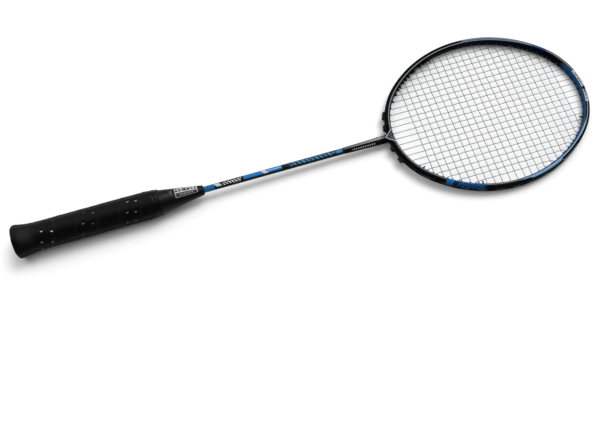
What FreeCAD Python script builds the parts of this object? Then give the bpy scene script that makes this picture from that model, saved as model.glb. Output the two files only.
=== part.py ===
import FreeCAD, Part
import math
import os

import Sketcher

# Badminton racket, in millimetres.
# Origin at the centre of the butt's end face. +X runs along the shaft to the tip of the head,
# +Z is square to the string bed, and +Y is the left side seen from the handle.

Vector = FreeCAD.Vector
os.makedirs("parts", exist_ok=True)
doc = FreeCAD.newDocument("badminton_racket")

# ---------------------------------------------------------------- driving dimensions
SIZES = {
    # head: a four-arc oval, outside sizes
    "racket_length": 675.0,
    "head_length": 243.0,
    "head_width": 199.4,
    "end_radius": 84.0,
    "rim_width": 6.5,
    "rim_height": 10.4,
    "rim_corner": 2.3,
    "rim_wall": 1.0,
    "groove_depth": 1.4,
    "groove_width": 3.6,
    "hole_diameter": 2.6,
    # shaft and throat
    "shaft_diameter": 7.3,
    "shaft_bore": 5.2,
    "shaft_start": 46.0,
    "shaft_end": 378.0,
    "joint_mouth": 7.7,
    "joint_waist": 9.4,
    "joint_waist_at": 418.0,
    "joint_root": 10.2,
    "joint_flare": 9.6,
    "joint_inset": 0.6,
    "joint_flank_arc": 11.0,
    "joint_flank_height": 8.4,
    "core_start": 346.0,
    "core_end": 426.0,
    # handle: an octagon of this apothem, grown by the offsets of each layer
    "handle_apothem": 10.3,
    "handle_end": 150.0,
    "wood_offset": 2.0,
    "tenon_offset": 0.5,
    "tenon_diameter": 21.0,
    "tenon_end": 166.0,
    "flare_offset": 5.0,
    "flare_mid_offset": 3.4,
    "flare_low_offset": 2.4,
    "flare_edge": 4.0,
    "flare_mid": 12.0,
    "flare_low": 20.0,
    "flare_end": 29.0,
    "cap_floor": 2.2,
    "plate_diameter": 22.0,
    "plate_thickness": 0.8,
    "nail_at": 14.0,
    "nail_seat": 13.2,
    "nail_diameter": 1.4,
    "nail_length": 9.0,
    "nail_head": 3.4,
    "nail_head_thickness": 0.6,
    "wrap_start": 1.2,
    "grip_thickness": 2.0,
    "overgrip_thickness": 1.2,
    "overgrip_end": 163.0,
    "round_apothem": 0.5,
    "cone_fall": 0.45,
    "overgrip_end_thickness": 0.4,
    "tape_start": 155.0,
    "tape_thickness": 0.25,
    # cone
    "cone_diameter": 27.2,
    "cone_tip_diameter": 11.0,
    "cone_end": 213.0,
    "cone_tip_radius": 1.0,
    "cone_wall": 2.0,
    "cone_collar": 12.0,
    "label_start": 181.0,
    "label_end": 206.0,
    "label_thickness": 0.15,
    "label_turn": 72.0,
    "label_lean": 8.0,
    # strings
    "string_diameter": 0.68,
    "string_gap": 0.04,
    "main_count": 22.0,
    "main_pitch": 7.8,
    "outer_main": 81.4,
    "second_main": 73.3,
    "cross_count": 22.0,
    "cross_pitch": 8.7,
    "first_cross": 466.5,
    "loop_side": 1.1,
    "bend_radius": 2.5,
    # grommets
    "barrel_bore": 1.6,
    "bore_lip": 0.35,
    "barrel_reach": 0.8,
    "long_barrel_reach": 2.0,
    "mouth_depth": 3.0,
    "band_thickness": 0.5,
    "band_width": 3.2,
    "band_overhang": 2.0,
    "pad_height": 2.7,
    "pad_width": 7.2,
}

sheet = doc.addObject("Spreadsheet::Sheet", "Sizes")
for row, (alias, value) in enumerate(SIZES.items(), start=1):
    sheet.set(f"A{row}", alias)
    sheet.set(f"B{row}", str(value))
    sheet.setAlias(f"B{row}", alias)
doc.recompute()


def size(alias):
    """One driving dimension, read back from the sheet."""
    return float(sheet.get(alias))


def value_of(expression):
    """The number that an expression over the sheet's cells gives."""
    result = sheet.evalExpression(expression)
    return float(getattr(result, "Value", result))


# ---------------------------------------------------------------- helpers for bodies and sketches
def new_body(label):
    body = doc.addObject("PartDesign::Body", label)
    body.Label = label
    return body


def origin_plane(body, role):
    return next(item for item in body.Origin.OriginFeatures if item.Role == role)


def new_sketch(body, name, role, offset="0"):
    """A sketch on one of the body's own origin planes, moved along its normal."""
    sketch = body.newObject("Sketcher::SketchObject", name)
    sketch.AttachmentSupport = [(origin_plane(body, role), "")]
    sketch.MapMode = "FlatFace"
    if offset != "0":
        sketch.setExpression("AttachmentOffset.Base.z", offset)
    return sketch


def arc_through(start, end, radius):
    """The shorter arc from start to end: a positive radius turns left, a negative one right."""
    chord = end - start
    middle = (start + end) * 0.5
    left = Vector(-chord.y, chord.x, 0).normalize()
    rise = math.sqrt(max(radius * radius - chord.Length ** 2 / 4, 0.0))
    side = 1 if radius > 0 else -1
    centre = middle + left * (rise * side)
    outward = (middle - centre).normalize() if rise > 1e-9 else left * -side
    return Part.Arc(start, centre + outward * abs(radius), end)


def draw_outline(sketch, corners):
    """A closed outline. Each corner is (x, y) or (x, y, radius), all as expressions, and a radius
    makes the edge that follows an arc of that size, negative to turn right."""
    points = [Vector(value_of(c[0]), value_of(c[1]), 0) for c in corners]
    count = len(corners)
    for index, corner in enumerate(corners):
        start, end = points[index], points[(index + 1) % count]
        if len(corner) == 3:
            sketch.addGeometry(arc_through(start, end, value_of(corner[2])))
        else:
            sketch.addGeometry(Part.LineSegment(start, end))
    starts = []
    for index, corner in enumerate(corners):
        turns_right = len(corner) == 3 and value_of(corner[2]) < 0
        starts.append(2 if turns_right else 1)
    for index in range(count):
        after = (index + 1) % count
        sketch.addConstraint(
            Sketcher.Constraint("Coincident", index, 3 - starts[index], after, starts[after])
        )
    for index, corner in enumerate(corners):
        for kind, expression in (("DistanceX", corner[0]), ("DistanceY", corner[1])):
            number = sketch.addConstraint(
                Sketcher.Constraint(kind, -1, 1, index, starts[index], value_of(expression))
            )
            sketch.setExpression(f"Constraints[{number}]", expression)
        if len(corner) == 3:
            radius = corner[2].lstrip("-")
            number = sketch.addConstraint(Sketcher.Constraint("Radius", index, value_of(radius)))
            sketch.setExpression(f"Constraints[{number}]", radius)


def revolved(label, corners):
    """A body turned about the racket's axis from half its lengthwise section."""
    body = new_body(label)
    sketch = new_sketch(body, f"{label}_section", "XZ_Plane")
    draw_outline(sketch, corners)
    turn = body.newObject("PartDesign::Revolution", f"{label}_turn")
    turn.Profile = sketch
    turn.ReferenceAxis = (sketch, ["H_Axis"])
    turn.Angle = 360
    return body


def octagon_corners(apothem, offset):
    """An octagon grown outwards by an offset, so that its corners are arcs of that radius."""
    corners = []
    half_side = f"({apothem}) * tan(22.5 deg)"
    for side in range(8):
        facing = f"{45 * side} deg"
        for sign in ("-", "+"):
            x = f"(({apothem}) + ({offset})) * cos({facing}) - ({sign}1) * {half_side} * sin({facing})"
            y = f"(({apothem}) + ({offset})) * sin({facing}) + ({sign}1) * {half_side} * cos({facing})"
            corners.append((x, y) if sign == "-" else (x, y, offset))
    return corners


def octagon_loft(body, name, stations, kind):
    """A loft through octagons across the axis. Each station is (place, apothem, offset)."""
    sections = []
    for number, (place, apothem, offset) in enumerate(stations):
        section = new_sketch(body, f"{name}_{number}", "YZ_Plane", place)
        draw_outline(section, octagon_corners(apothem, offset))
        sections.append(section)
    loft = body.newObject(f"PartDesign::{kind}Loft", name)
    loft.Profile = sections[0]
    loft.Sections = sections[1:]
    loft.Ruled = True
    return loft


def cylinder(label, radius, length, place="0", along="X"):
    """A round bar along X, or across the racket along Y, starting at the given place on X."""
    bar = doc.addObject("Part::Cylinder", label)
    bar.setExpression("Radius", radius)
    bar.setExpression("Height", length)
    turn = {"X": (Vector(0, 1, 0), 90), "Y": (Vector(1, 0, 0), -90)}[along]
    bar.Placement = FreeCAD.Placement(Vector(), FreeCAD.Rotation(*turn))
    bar.setExpression("Placement.Base.x", place)
    return bar


def boolean(kind, label, base, *tools):
    """base cut by, or fused with, each tool in turn."""
    result = base
    for number, tool in enumerate(tools, start=1):
        step = doc.addObject(f"Part::{kind}", f"{label}_{kind.lower()}_{number}")
        step.Base = result
        step.Tool = tool
        result = step
    result.Label = label
    return result


def feature(label, shape):
    """A piece whose shape comes from Part's own functions."""
    item = doc.addObject("Part::Feature", label)
    item.Label = label
    item.Shape = shape
    item.Placement = FreeCAD.Placement()
    return item


PIECES = []


def keep(piece):
    PIECES.append(piece)
    return piece


# ---------------------------------------------------------------- the head's four-arc oval
HEAD_MIDDLE = size("racket_length") - size("head_length") / 2
HALF_LENGTH = size("head_length") / 2
HALF_WIDTH = size("head_width") / 2
END_RADIUS = size("end_radius")
SIDE_RADIUS = (HALF_LENGTH ** 2 + HALF_WIDTH ** 2 - 2 * HALF_LENGTH * END_RADIUS) / (
    2 * (HALF_WIDTH - END_RADIUS)
)
END_CENTRE = HALF_LENGTH - END_RADIUS
SIDE_CENTRE = SIDE_RADIUS - HALF_WIDTH
JOIN_ANGLE = math.atan2(SIDE_CENTRE, END_CENTRE)
HALF_RIM = size("rim_width") / 2


def rim_point(angle, outset=0.0):
    """A point of the rim's centre line and the outward normal there. The angle is that of the
    normal from +X, and the outset moves the point along the normal."""
    normal = Vector(math.cos(angle), math.sin(angle), 0)
    folded = math.atan2(abs(normal.y), abs(normal.x))
    if folded <= JOIN_ANGLE:
        centre = Vector(math.copysign(END_CENTRE, normal.x), 0, 0)
        radius = END_RADIUS
    else:
        centre = Vector(0, -math.copysign(SIDE_CENTRE, normal.y), 0)
        radius = SIDE_RADIUS
    point = centre + normal * (radius - HALF_RIM + outset) + Vector(HEAD_MIDDLE, 0, 0)
    return point, normal


def rim_edges(start, end, outset, height=0.0):
    """The edges that follow the rim from one normal's angle to another, turning left."""
    joins = [k * math.pi + s * JOIN_ANGLE for k in range(-2, 4) for s in (-1, 1)]
    stops = [start] + sorted(a for a in joins if start + 1e-6 < a < end - 1e-6) + [end]
    lift = Vector(0, 0, height)
    edges = []
    for low, high in zip(stops, stops[1:]):
        inner = 1e-7
        first = rim_point(low + inner, outset)[0] + lift
        middle = rim_point((low + high) / 2, outset)[0] + lift
        last = rim_point(high - inner, outset)[0] + lift
        edges.append((first, middle, last))
    # neighbouring arcs share one point exactly
    for index in range(1, len(edges)):
        edges[index] = (edges[index - 1][2], edges[index][1], edges[index][2])
    return [Part.Arc(*points).toShape() for points in edges]


def run_end_angle(distance, across, forward, outset):
    """The angle of the normal where a straight string leaves the head. across is True for a cross,
    which runs along Y at this distance from the head's middle, and False for a main along X."""
    if across:
        side = SIDE_RADIUS - HALF_RIM + outset
        end = END_RADIUS - HALF_RIM + outset
        if abs(distance) <= side * math.cos(JOIN_ANGLE):
            folded = math.acos(abs(distance) / side)
        else:
            folded = math.acos((abs(distance) - END_CENTRE) / end)
        angle = folded if distance >= 0 else math.pi - folded
        return angle if forward else -angle
    side = SIDE_RADIUS - HALF_RIM + outset
    end = END_RADIUS - HALF_RIM + outset
    if abs(distance) <= end * math.sin(JOIN_ANGLE):
        folded = math.asin(abs(distance) / end)
    else:
        folded = math.asin((abs(distance) + SIDE_CENTRE) / side)
    angle = folded if forward else math.pi - folded
    return math.copysign(angle, distance)


# ---------------------------------------------------------------- handle
WOOD = [
    ("Sizes.flare_end", "Sizes.handle_apothem", "Sizes.wood_offset"),
    ("Sizes.handle_end", "Sizes.handle_apothem", "Sizes.wood_offset"),
]
FLARE = [
    ("Sizes.flare_edge", "Sizes.flare_offset"),
    ("Sizes.flare_mid", "Sizes.flare_mid_offset"),
    ("Sizes.flare_low", "Sizes.flare_low_offset"),
    ("Sizes.flare_end", "Sizes.wood_offset"),
    ("Sizes.handle_end", "Sizes.wood_offset"),
]


def layer(start, grown, last=None):
    """Stations of a wrap's surface, this far outside the wood and the flared cap."""
    stations = [(start, "Sizes.handle_apothem", f"Sizes.flare_offset + {grown}")]
    for place, offset in FLARE:
        stations.append((place, "Sizes.handle_apothem", f"{offset} + {grown}"))
    if last:
        stations.append(last)
    return stations


def nail_shape(side):
    """A cap nail driven in square to the axis, from +Y (side 1) or -Y (side -1)."""
    inward = Vector(0, -side, 0)
    seat = Vector(size("nail_at"), side * size("nail_seat"), 0)
    head = Part.makeCylinder(size("nail_head") / 2, size("nail_head_thickness"), seat, inward)
    shank = Part.makeCylinder(size("nail_diameter") / 2, size("nail_length"), seat, inward)
    return head.fuse(shank).removeSplitter()


def make_nails():
    """Two nails that hold the cap on the wood."""
    return keep(feature("butt_cap_nails", Part.makeCompound([nail_shape(1), nail_shape(-1)])))


def make_handle_core(nails):
    """The wooden handle: an octagon with a tenon at each end, bored for the shaft."""
    body = new_body("handle_core_blank")
    octagon_loft(body, "handle_core_octagon", WOOD, "Additive")
    tenon = [
        ("Sizes.cap_floor", "Sizes.handle_apothem", "Sizes.tenon_offset"),
        ("Sizes.flare_end", "Sizes.handle_apothem", "Sizes.tenon_offset"),
    ]
    octagon_loft(body, "handle_core_tenon", tenon, "Additive")
    nose = new_sketch(body, "handle_core_nose_circle", "YZ_Plane", "Sizes.handle_end")
    nose.addGeometry(Part.Circle(Vector(), Vector(0, 0, 1), size("tenon_diameter") / 2))
    nose.addConstraint(Sketcher.Constraint("Coincident", 0, 3, -1, 1))
    number = nose.addConstraint(Sketcher.Constraint("Diameter", 0, size("tenon_diameter")))
    nose.setExpression(f"Constraints[{number}]", "Sizes.tenon_diameter")
    pad = body.newObject("PartDesign::Pad", "handle_core_nose")
    pad.Profile = nose
    pad.setExpression("Length", "Sizes.tenon_end - Sizes.handle_end")
    bore = cylinder(
        "handle_core_bore", "Sizes.shaft_diameter / 2",
        "Sizes.tenon_end - Sizes.shaft_start + 1", "Sizes.shaft_start",
    )
    return keep(boolean("Cut", "handle_core", body, bore, nails))


def make_butt_cap(nails):
    """The flared plastic cap over the handle's end, with a round seat for the end plate."""
    body = new_body("butt_cap_blank")
    outside = layer("0", "0")[:-1]
    octagon_loft(body, "butt_cap_outside", outside, "Additive")
    socket = [
        ("Sizes.cap_floor", "Sizes.handle_apothem", "Sizes.tenon_offset"),
        ("Sizes.flare_end", "Sizes.handle_apothem", "Sizes.tenon_offset"),
    ]
    octagon_loft(body, "butt_cap_socket", socket, "Subtractive")
    seat = cylinder("butt_cap_seat", "Sizes.plate_diameter / 2", "Sizes.plate_thickness")
    return keep(boolean("Cut", "butt_cap", body, seat, nails))


def make_butt_plate():
    """The round end plate, flush with the butt's end face."""
    return keep(cylinder("butt_plate", "Sizes.plate_diameter / 2", "Sizes.plate_thickness"))


def make_base_grip():
    """The cushioned grip on the wood and the cap, from the butt to the cone."""
    body = new_body("base_grip")
    outside = layer("Sizes.wrap_start", "Sizes.grip_thickness")
    octagon_loft(body, "base_grip_outside", outside, "Additive")
    octagon_loft(body, "base_grip_inside", layer("Sizes.wrap_start", "0"), "Subtractive")
    return keep(body)


def make_overgrip():
    """The overgrip round the base grip, which ends as a thin edge on the cone."""
    body = new_body("overgrip")
    both = "Sizes.grip_thickness + Sizes.overgrip_thickness"
    cone = "Sizes.cone_diameter / 2 - Sizes.cone_fall"
    outer_end = ("Sizes.overgrip_end", "Sizes.round_apothem", f"{cone} + Sizes.overgrip_end_thickness")
    inner_end = ("Sizes.overgrip_end", "Sizes.round_apothem", cone)
    octagon_loft(body, "overgrip_outside", layer("Sizes.wrap_start", both, outer_end), "Additive")
    inside = layer("Sizes.wrap_start", "Sizes.grip_thickness", inner_end)
    octagon_loft(body, "overgrip_inside", inside, "Subtractive")
    return keep(body)


def make_finishing_tape():
    """The adhesive tape that holds the overgrip's end down."""
    body = new_body("finishing_tape")
    share = "(Sizes.tape_start - Sizes.handle_end) / (Sizes.overgrip_end - Sizes.handle_end)"
    wrapped = "Sizes.wood_offset + Sizes.grip_thickness + Sizes.overgrip_thickness"
    end_offset = "(Sizes.cone_diameter / 2 - Sizes.cone_fall + Sizes.overgrip_end_thickness)"
    apothem = f"Sizes.handle_apothem + (Sizes.round_apothem - Sizes.handle_apothem) * {share}"
    offset = f"{wrapped} + ({end_offset} - {wrapped}) * {share}".replace(
        f"- {wrapped}", f"- ({wrapped})"
    )

    def stations(grown):
        return [
            ("Sizes.tape_start", apothem, f"{offset} + {grown}"),
            ("Sizes.overgrip_end", "Sizes.round_apothem", f"{end_offset} + {grown}"),
        ]

    octagon_loft(body, "finishing_tape_outside", stations("Sizes.tape_thickness"), "Additive")
    octagon_loft(body, "finishing_tape_inside", stations("0"), "Subtractive")
    return keep(body)


def make_cone():
    """The plastic cone that caps the handle and steadies the shaft."""
    rim = "Sizes.cone_diameter / 2"
    tip = "Sizes.cone_tip_diameter / 2"
    bore = "Sizes.shaft_diameter / 2"
    tenon = "Sizes.tenon_diameter / 2"
    corners = [
        ("Sizes.handle_end", tenon),
        ("Sizes.handle_end", rim),
        ("Sizes.overgrip_end", rim),
        ("Sizes.cone_end - Sizes.cone_tip_radius", f"{tip} + 0.1"),
        ("Sizes.cone_end", f"{tip} - Sizes.cone_tip_radius"),
        ("Sizes.cone_end", bore),
        ("Sizes.cone_end - Sizes.cone_collar", bore),
        ("Sizes.cone_end - Sizes.cone_collar", f"{bore} + 1.2"),
        ("Sizes.tenon_end", tenon),
    ]
    return keep(revolved("cone", corners))


def make_cone_label():
    """A foil label laid on the cone near its thin end, leaning a little to the left."""
    rise = "(Sizes.cone_diameter / 2 - Sizes.cone_tip_diameter / 2 - 0.1)"
    run = "(Sizes.cone_end - Sizes.cone_tip_radius - Sizes.overgrip_end)"

    def radius(place, grown):
        slope = f"{rise} * ({place} - Sizes.overgrip_end) / {run}"
        return f"Sizes.cone_diameter / 2 - {slope} + {grown}"

    thick = "Sizes.label_thickness"
    body = new_body("cone_label")
    sketch = new_sketch(body, "cone_label_section", "XZ_Plane")
    draw_outline(sketch, [
        ("Sizes.label_start", radius("Sizes.label_start", "0")),
        ("Sizes.label_start", radius("Sizes.label_start", thick)),
        ("Sizes.label_end", radius("Sizes.label_end", thick)),
        ("Sizes.label_end", radius("Sizes.label_end", "0")),
    ])
    turn = body.newObject("PartDesign::Revolution", "cone_label_turn")
    turn.Profile = sketch
    turn.ReferenceAxis = (sketch, ["H_Axis"])
    turn.Midplane = True
    turn.setExpression("Angle", "Sizes.label_turn")
    lean = FreeCAD.Rotation(Vector(1, 0, 0), -size("label_lean"))
    body.Placement = FreeCAD.Placement(Vector(0, 0, 0), lean)
    return keep(body)


# ---------------------------------------------------------------- shaft and throat
def make_shaft():
    """The hollow carbon shaft, glued deep into the wood."""
    corners = [
        ("Sizes.shaft_start", "Sizes.shaft_bore / 2"),
        ("Sizes.shaft_start", "Sizes.shaft_diameter / 2"),
        ("Sizes.shaft_end", "Sizes.shaft_diameter / 2"),
        ("Sizes.shaft_end", "Sizes.shaft_bore / 2"),
    ]
    return keep(revolved("shaft", corners))


def make_throat_core():
    """The spigot that joins the shaft's bore to the T-joint."""
    length = "Sizes.core_end - Sizes.core_start"
    return keep(cylinder("throat_core", "Sizes.shaft_bore / 2", length, "Sizes.core_start"))


def make_throat_joint(envelope, core):
    """The moulded T-joint: a stem that swells towards the rim, with a flank on each side."""
    root = "Sizes.racket_length - Sizes.head_length + Sizes.rim_width / 2"
    stem = revolved("throat_stem", [
        ("Sizes.shaft_end", "0"),
        ("Sizes.shaft_end", "Sizes.joint_mouth / 2"),
        ("Sizes.joint_waist_at", "Sizes.joint_waist / 2"),
        (root, "Sizes.joint_root / 2"),
        (root, "0"),
    ])
    body = new_body("throat_flanks")
    plan = new_sketch(body, "throat_flanks_plan", "XY_Plane")
    waist = "Sizes.joint_waist_at"
    draw_outline(plan, [
        (waist, "-Sizes.joint_waist / 2 + Sizes.joint_inset", "-Sizes.joint_flank_arc"),
        (root, "-Sizes.joint_flare"),
        (root, "Sizes.joint_flare", "-Sizes.joint_flank_arc"),
        (waist, "Sizes.joint_waist / 2 - Sizes.joint_inset"),
    ])
    pad = body.newObject("PartDesign::Pad", "throat_flanks_pad")
    pad.Profile = plan
    pad.Midplane = True
    pad.setExpression("Length", "Sizes.joint_flank_height")
    doc.recompute()
    return keep(boolean("Cut", "throat_joint", boolean("Fuse", "throat_both", stem, body), envelope, core))


# ---------------------------------------------------------------- head frame
MIDDLE = "(Sizes.racket_length - Sizes.head_length / 2)"
A_HALF = "(Sizes.head_length / 2)"
B_HALF = "(Sizes.head_width / 2)"
R_END = "Sizes.end_radius"
R_SIDE = f"(({A_HALF}^2 + {B_HALF}^2 - 2 * {A_HALF} * {R_END}) / (2 * ({B_HALF} - {R_END})))"
INSET = "(Sizes.rim_width / 2)"
JOIN_X = f"({A_HALF} - {R_END}) * ({R_SIDE} - {INSET}) / ({R_SIDE} - {R_END})"
JOIN_Y = f"({R_SIDE} - {B_HALF}) * ({R_END} - {INSET}) / ({R_SIDE} - {R_END})"


def draw_rim_line(body, name):
    """The rim's centre line: end arcs and side arcs that meet tangentially, from the tip round."""
    line = new_sketch(body, name, "XY_Plane")
    end = f"{R_END} - {INSET}"
    side = f"{R_SIDE} - {INSET}"
    draw_outline(line, [
        (f"{MIDDLE} + {A_HALF} - {INSET}", "0", end),
        (f"{MIDDLE} + {JOIN_X}", JOIN_Y, side),
        (f"{MIDDLE} - {JOIN_X}", JOIN_Y, end),
        (f"{MIDDLE} - {JOIN_X}", f"-{JOIN_Y}", side),
        (f"{MIDDLE} + {JOIN_X}", f"-{JOIN_Y}", end),
    ])
    return line


def rim_section(body, name, corners):
    """A section of the rim where it crosses the XZ plane at the tip, with x measured outwards."""
    section = new_sketch(body, name, "XZ_Plane")
    place = f"{MIDDLE} + {A_HALF} - {INSET}"
    draw_outline(section, [(f"{place} + {c[0]}", *c[1:]) for c in corners])
    return section


def rim_outline(with_groove):
    wide, tall, corner = INSET, "Sizes.rim_height / 2", "Sizes.rim_corner"
    groove = [
        (wide, "-Sizes.groove_width / 2"),
        (f"{wide} - Sizes.groove_depth", "-Sizes.groove_width / 2"),
        (f"{wide} - Sizes.groove_depth", "Sizes.groove_width / 2"),
        (wide, "Sizes.groove_width / 2"),
    ]
    return [
        (wide, f"-{tall} + {corner}"),
        *(groove if with_groove else []),
        (wide, f"{tall} - {corner}", corner),
        (f"{wide} - {corner}", tall),
        (f"-{wide} + {corner}", tall, corner),
        (f"-{wide}", f"{tall} - {corner}"),
        (f"-{wide}", f"-{tall} + {corner}", corner),
        (f"-{wide} + {corner}", f"-{tall}"),
        (f"{wide} - {corner}", f"-{tall}", corner),
    ]


def rim_cavity():
    inner = f"-{INSET} + Sizes.rim_wall"
    outer = f"{INSET} - Sizes.groove_depth - Sizes.rim_wall"
    tall = "Sizes.rim_height / 2 - Sizes.rim_wall"
    corner = "Sizes.rim_corner / 2"
    return [
        (outer, f"-({tall}) + {corner}"),
        (outer, f"{tall} - {corner}", corner),
        (f"{outer} - {corner}", tall),
        (f"{inner} + {corner}", tall, corner),
        (inner, f"{tall} - {corner}"),
        (inner, f"-({tall}) + {corner}", corner),
        (f"{inner} + {corner}", f"-({tall})"),
        (f"{outer} - {corner}", f"-({tall})", corner),
    ]


def rim_pipe(body, name, outline, kind):
    pipe = body.newObject(f"PartDesign::{kind}Pipe", name)
    pipe.Profile = rim_section(body, f"{name}_section", outline)
    pipe.Spine = (draw_rim_line(body, f"{name}_line"), [])
    return pipe


def make_rim_envelope():
    """The rim's outer form without its groove, which shapes the parts that meet it."""
    body = new_body("rim_envelope")
    rim_pipe(body, "rim_envelope_pipe", rim_outline(False), "Additive")
    return body


# ---------------------------------------------------------------- string pattern
MAINS = int(size("main_count"))
CROSSES = int(size("cross_count"))
STRING_RADIUS = size("string_diameter") / 2
WEAVE = STRING_RADIUS + size("string_gap") / 2
MOUTH = -(HALF_RIM + size("mouth_depth"))
TIE_LEAD = 0.4
TIE_START = MOUTH + TIE_LEAD
KNOT_WAIST = 2.0
KNOT_CROWN = 2.8
LOOP_GAP = 0.05
LOOP = HALF_RIM - size("groove_depth") + size("band_thickness") + STRING_RADIUS + LOOP_GAP
MAIN_PLACES = [(k - (MAINS - 1) / 2) * size("main_pitch") for k in range(MAINS)]
# the two outermost mains on each side stand a little closer, clear of the crosses' holes
MAIN_PLACES[:2] = [-size("outer_main"), -size("second_main")]
MAIN_PLACES[-2:] = [size("second_main"), size("outer_main")]
CROSS_PLACES = [
    size("first_cross") + k * size("cross_pitch") - HEAD_MIDDLE for k in range(CROSSES)
]


def main_angle(number, forward):
    return run_end_angle(MAIN_PLACES[number], False, forward, MOUTH)


def cross_angle(number, left):
    return run_end_angle(CROSS_PLACES[number], True, left, MOUTH)


def weave_height(main, cross):
    """Height of the main's centre where it passes this cross; the cross has the opposite."""
    return WEAVE if (main + cross) % 2 == 0 else -WEAVE


def main_run(number):
    """The crossings of a main from throat to tip: distances along X and heights."""
    low = rim_point(main_angle(number, False), MOUTH)[0].x - HEAD_MIDDLE
    high = rim_point(main_angle(number, True), MOUTH)[0].x - HEAD_MIDDLE
    return [(x, weave_height(number, k)) for k, x in enumerate(CROSS_PLACES) if low < x < high]


def cross_run(number):
    """The crossings of a cross from right to left: distances along Y and heights."""
    reach = rim_point(cross_angle(number, True), MOUTH)[0].y
    return [(y, -weave_height(k, number)) for k, y in enumerate(MAIN_PLACES) if abs(y) < reach]


def weave_edges(crossings, point_at):
    """Arcs that pass each crossing at its height, level there, and meet midway at a common slope."""
    edges = []
    places = [place for place, height in crossings]
    for index, (place, height) in enumerate(crossings):
        neighbours = places[max(index - 1, 0):index] + places[index + 1:index + 2]
        halves = [(other - place) / 2 for other in neighbours]
        if len(halves) == 2 and abs(halves[0] + halves[1]) < 1e-6:
            spans = [(halves[0], halves[1])]
        elif len(halves) == 2:
            spans = [(halves[0], 0), (0, halves[1])]
        elif index == 0:
            spans = [(0, halves[0])]
        else:
            spans = [(halves[0], 0)]
        for low, high in spans:
            half = max(abs(low), abs(high))
            radius = (half ** 2 + WEAVE ** 2) / (2 * WEAVE)
            points = []
            for step in (low, (low + high) / 2, high):
                drop = radius - math.sqrt(radius ** 2 - step ** 2)
                points.append(point_at(place + step, height - math.copysign(drop, height)))
            edges.append(Part.Arc(*points).toShape())
    return edges


# the most of a run that the arc at one of its corners may take up, and the turn below which it stays sharp
CORNER_SHARE = 0.45
STRAIGHT_TURN = 1e-4


def rounded_route(points, limit):
    """Straight runs between the points, joined by tangent arcs of up to the limit's radius."""
    edges = []
    place = points[0]
    for before, corner, after in zip(points, points[1:], points[2:]):
        back, ahead = before - corner, after - corner
        turn = math.pi - back.getAngle(ahead)
        if turn < STRAIGHT_TURN:
            continue
        shorter = min(back.Length, ahead.Length)
        radius = min(limit, CORNER_SHARE * shorter / math.tan(turn / 2))
        setback = radius * math.tan(turn / 2)
        back.normalize()
        ahead.normalize()
        first, last = corner + back * setback, corner + ahead * setback
        inward = (back + ahead).normalize()
        middle = corner + inward * (radius / math.cos(turn / 2) - radius)
        edges.append(Part.LineSegment(place, first).toShape())
        edges.append(Part.Arc(first, middle, last).toShape())
        place = last
    edges.append(Part.LineSegment(place, points[-1]).toShape())
    return edges


def loop_points(start, end, height_start, height_end, side_height):
    """Points of a string outside the rim between two holes: out, along the groove and in."""
    turn = 1 if end > start else -1
    ease = 1.7 / END_RADIUS * turn
    steps = max(2, int(abs(end - start) * END_RADIUS / 3.5))
    points = [rim_point(start, LOOP)[0] + Vector(0, 0, height_start)]
    for step in range(steps + 1):
        angle = start + ease + (end - start - 2 * ease) * step / steps
        points.append(rim_point(angle, LOOP)[0] + Vector(0, 0, side_height))
    points.append(rim_point(end, LOOP)[0] + Vector(0, 0, height_end))
    return points


def mouth(angle, height):
    return rim_point(angle, MOUTH)[0] + Vector(0, 0, height)


def string_route(runs, side_height, first_tie, last_tie):
    """One continuous string. Each run is (start angle, end angle, crossings, point_at)."""
    edges = []
    for index, (start, end, crossings, point_at) in enumerate(runs):
        entry = crossings[0][1]
        peak = point_at(*crossings[0])
        if index == 0:
            points = [rim_point(first_tie, TIE_START)[0]]
            points += loop_points(first_tie, start, 0.0, entry, side_height)
        else:
            _, last_end, last_crossings, last_point_at = runs[index - 1]
            leaving = last_crossings[-1][1]
            points = [last_point_at(*last_crossings[-1]), mouth(last_end, leaving)]
            points += loop_points(last_end, start, leaving, entry, side_height)
        points += [mouth(start, entry), peak]
        edges += rounded_route(points, size("bend_radius"))
        edges += weave_edges(crossings, point_at)
    _, end, crossings, point_at = runs[-1]
    leaving = crossings[-1][1]
    points = [point_at(*crossings[-1]), mouth(end, leaving)]
    points += loop_points(end, last_tie, leaving, 0.0, side_height)
    points.append(rim_point(last_tie, TIE_START)[0])
    return edges + rounded_route(points, size("bend_radius"))


def string_solid(edges):
    """The string swept along its route, which is checked against its length."""
    start, ahead = edges[0].Vertexes[0].Point, edges[0].Vertexes[-1].Point
    circle = Part.makeCircle(STRING_RADIUS, start, ahead - start)
    solid = Part.Wire(edges).makePipeShell([Part.Wire([circle])], True, False)
    length = sum(edge.Length for edge in edges)
    expected = math.pi * STRING_RADIUS ** 2 * length
    print("string length", round(length), "volume ratio", round(solid.Volume / expected, 4))
    return solid


# where the strings are tied off, as angles round the head
MAIN_TIES = [math.radians(-107.9), math.radians(107.9)]
CROSS_TIES = [math.radians(-141.0), math.radians(-31.7)]


def main_runs():
    runs = []
    for number, y in enumerate(MAIN_PLACES):

        def point_at(x, height, y=y):
            return Vector(HEAD_MIDDLE + x, y, height)

        throat, tip = main_angle(number, False), main_angle(number, True)
        crossings = main_run(number)
        if number % 2:
            throat, tip = tip, throat
            crossings = crossings[::-1]
        runs.append((throat, tip, crossings, point_at))
    return runs


def cross_runs():
    runs = []
    for number, x in enumerate(CROSS_PLACES):

        def point_at(y, height, x=x):
            return Vector(HEAD_MIDDLE + x, y, height)

        right, left = cross_angle(number, False), cross_angle(number, True)
        crossings = cross_run(number)
        if number % 2:
            right, left = left, right
            crossings = crossings[::-1]
        runs.append((right, left, crossings, point_at))
    return runs


def make_string(label, runs, side_height, ties):
    """One string, woven over and under the other, in at one tie hole and out at another."""
    return keep(feature(label, string_solid(string_route(runs, side_height, *ties))))


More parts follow.
